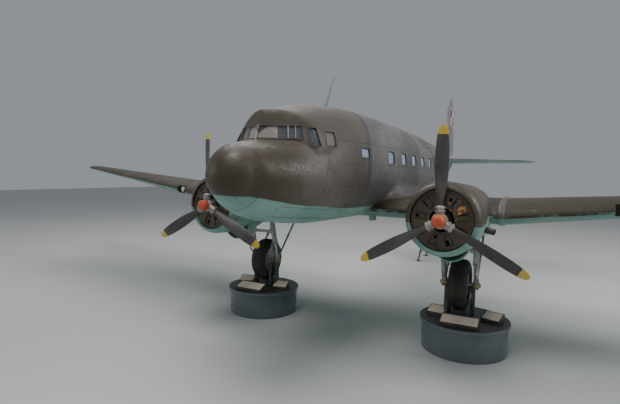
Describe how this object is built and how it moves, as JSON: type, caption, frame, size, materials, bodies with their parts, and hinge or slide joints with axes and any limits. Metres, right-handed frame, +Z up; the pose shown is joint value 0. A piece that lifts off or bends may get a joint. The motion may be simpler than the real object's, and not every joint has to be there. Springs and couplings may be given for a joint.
{
  "type": "military transport plane",
  "caption": "Low-wing transport plane with a radial engine on each side and tail-wheel gear, parked on display plinths; propellers, wheels, control surfaces, flaps and doors move.",
  "frame": {"origin": "on the floor under the middle of the aircraft's length and span", "axes": "+X to port along the span, +Y aft, +Z up"},
  "size_m": [28.81, 19.6501, 8.2],
  "materials": {
    "upper_paint": "matt, weathered",
    "fin_paint": "matt, weathered",
    "lower_paint": "matt, weathered",
    "cowl_paint": "satin, worn",
    "shutter_paint": "satin, flaking",
    "engine_metal": "oily",
    "blade_paint": "satin",
    "dome_paint": "satin",
    "gear_metal": "worn",
    "wheel_alloy": "worn",
    "tyre_rubber": "dusty",
    "window_glass": "clear",
    "cabin_paint": "matt",
    "seat_leather": "worn",
    "panel_paint": "matt",
    "plinth_paint": "satin"
  },
  "bodies": {
    "root": {"nose_cap": "upper_paint", "cockpit_section": "upper_paint", "cockpit_glazing": "window_glass", "cockpit_floor": "cabin_paint", "instrument_panel": "panel_paint", "pilot_seat_port": "seat_leather", "pilot_seat_starboard": "seat_leather", "front_bulkhead": "cabin_paint", "cabin_section": "upper_paint", "cabin_floor": "cabin_paint", "cabin_glazing_port": "window_glass", "cabin_glazing_starboard": "window_glass", "wing_centre": "lower_paint", "wing_port": "upper_paint", "wing_starboard": "upper_paint", "tail_cone": "upper_paint", "fin": "fin_paint", "tailplane_port": "upper_paint", "tailplane_starboard": "upper_paint", "cowling_port": "cowl_paint", "cowling_starboard": "cowl_paint", "shutter_disc_port": "shutter_paint", "shutter_disc_starboard": "shutter_paint", "engine_port": "engine_metal", "engine_starboard": "engine_metal", "nacelle_port": "upper_paint", "nacelle_starboard": "upper_paint", "main_gear_port": "gear_metal", "main_gear_starboard": "gear_metal", "tail_leg": "gear_metal", "antenna_mast": "gear_metal", "plinth_port": "plinth_paint", "plinth_starboard": "plinth_paint", "tail_stand": "plinth_paint"},
    "propeller_port": {"propeller_port": "blade_paint", "propeller_dome_port": "dome_paint"},
    "propeller_starboard": {"propeller_starboard": "blade_paint", "propeller_dome_starboard": "dome_paint"},
    "main_wheel_port": {"main_wheel_port": "wheel_alloy", "main_tyre_port": "tyre_rubber"},
    "main_wheel_starboard": {"main_wheel_starboard": "wheel_alloy", "main_tyre_starboard": "tyre_rubber"},
    "tail_fork": {"tail_fork": "gear_metal"},
    "tail_wheel": {"tail_wheel": "wheel_alloy", "tail_tyre": "tyre_rubber"},
    "rudder": {"rudder": "fin_paint"},
    "elevators": {"elevator_port": "upper_paint", "elevator_starboard": "upper_paint"},
    "aileron_port": {"aileron_port": "upper_paint"},
    "aileron_starboard": {"aileron_starboard": "upper_paint"},
    "inner_flap_port": {"inner_flap_port": "lower_paint"},
    "inner_flap_starboard": {"inner_flap_starboard": "lower_paint"},
    "outer_flap_port": {"outer_flap_port": "lower_paint"},
    "outer_flap_starboard": {"outer_flap_starboard": "lower_paint"},
    "cargo_door_front": {"cargo_door_front": "upper_paint"},
    "cargo_door_rear": {"cargo_door_rear": "upper_paint"},
    "passenger_door": {"passenger_door": "upper_paint"}
  },
  "joints": [
    {"name": "propeller_port_spin", "type": "hinge", "parent": "root", "child": "propeller_port", "pos_m": [2.82, -6.775, 3.36], "axis": [0, 1, 0], "continuous": true},
    {"name": "propeller_starboard_spin", "type": "hinge", "parent": "root", "child": "propeller_starboard", "pos_m": [-2.82, -6.775, 3.36], "axis": [0, 1, 0], "continuous": true},
    {"name": "main_wheel_port_spin", "type": "hinge", "parent": "root", "child": "main_wheel_port", "pos_m": [2.82, -4.075, 1.59], "axis": [1, 0, 0], "continuous": true},
    {"name": "main_wheel_starboard_spin", "type": "hinge", "parent": "root", "child": "main_wheel_starboard", "pos_m": [-2.82, -4.075, 1.59], "axis": [1, 0, 0], "continuous": true},
    {"name": "tail_fork_swivel", "type": "hinge", "parent": "root", "child": "tail_fork", "pos_m": [0, 7.005, 3.995], "axis": [0, 0, 1], "continuous": true},
    {"name": "tail_wheel_spin", "type": "hinge", "parent": "tail_fork", "child": "tail_wheel", "pos_m": [0, 7.125, 3.74], "axis": [1, 0, 0], "continuous": true},
    {"name": "rudder_hinge", "type": "hinge", "parent": "root", "child": "rudder", "pos_m": [0, 8.425, 5.265], "axis": [0, 0, 1], "range_deg": [-30, 30]},
    {"name": "elevator_hinge", "type": "hinge", "parent": "root", "child": "elevators", "pos_m": [0, 7.675, 4.915], "axis": [1, 0, 0], "range_deg": [-20, 30]},
    {"name": "aileron_port_hinge", "type": "hinge", "parent": "root", "child": "aileron_port", "pos_m": [8.3, -1.285, 3.70946], "axis": [0.9954, 0, 0.0957], "range_deg": [-22, 22]},
    {"name": "aileron_starboard_hinge", "type": "hinge", "parent": "root", "child": "aileron_starboard", "pos_m": [-8.3, -1.285, 3.70946], "axis": [0.9954, 0, -0.0957], "range_deg": [-22, 22]},
    {"name": "inner_flap_port_hinge", "type": "hinge", "parent": "root", "child": "inner_flap_port", "pos_m": [0.66, -1.623, 3.16849], "axis": [-1, 0, 0], "range_deg": [0, 45]},
    {"name": "inner_flap_starboard_hinge", "type": "hinge", "parent": "root", "child": "inner_flap_starboard", "pos_m": [-0.66, -1.623, 3.16849], "axis": [-1, 0, 0], "range_deg": [0, 45]},
    {"name": "outer_flap_port_hinge", "type": "hinge", "parent": "root", "child": "outer_flap_port", "pos_m": [3.79, -1.623, 3.17464], "axis": [-0.9948, 0, -0.1018], "range_deg": [0, 45]},
    {"name": "outer_flap_starboard_hinge", "type": "hinge", "parent": "root", "child": "outer_flap_starboard", "pos_m": [-3.79, -1.623, 3.17464], "axis": [-0.9948, 0, 0.1018], "range_deg": [0, 45]},
    {"name": "cargo_door_front_hinge", "type": "hinge", "parent": "root", "child": "cargo_door_front", "pos_m": [1.17438, -0.079, 3.86], "axis": [0, 0, -1], "range_deg": [0, 95]},
    {"name": "cargo_door_rear_hinge", "type": "hinge", "parent": "root", "child": "cargo_door_rear", "pos_m": [1.04218, 1.979, 3.86], "axis": [0, 0, 1], "range_deg": [0, 95]},
    {"name": "passenger_door_hinge", "type": "hinge", "parent": "root", "child": "passenger_door", "pos_m": [-1.13492, 0.771, 3.86], "axis": [0, 0, 1], "range_deg": [0, 95]}
  ],
  "couplings": [
    {"joint": "aileron_starboard_hinge", "follows": "aileron_port_hinge", "ratio": -1},
    {"joint": "inner_flap_starboard_hinge", "follows": "inner_flap_port_hinge", "ratio": 1},
    {"joint": "outer_flap_port_hinge", "follows": "inner_flap_port_hinge", "ratio": 1},
    {"joint": "outer_flap_starboard_hinge", "follows": "inner_flap_port_hinge", "ratio": 1}
  ]
}
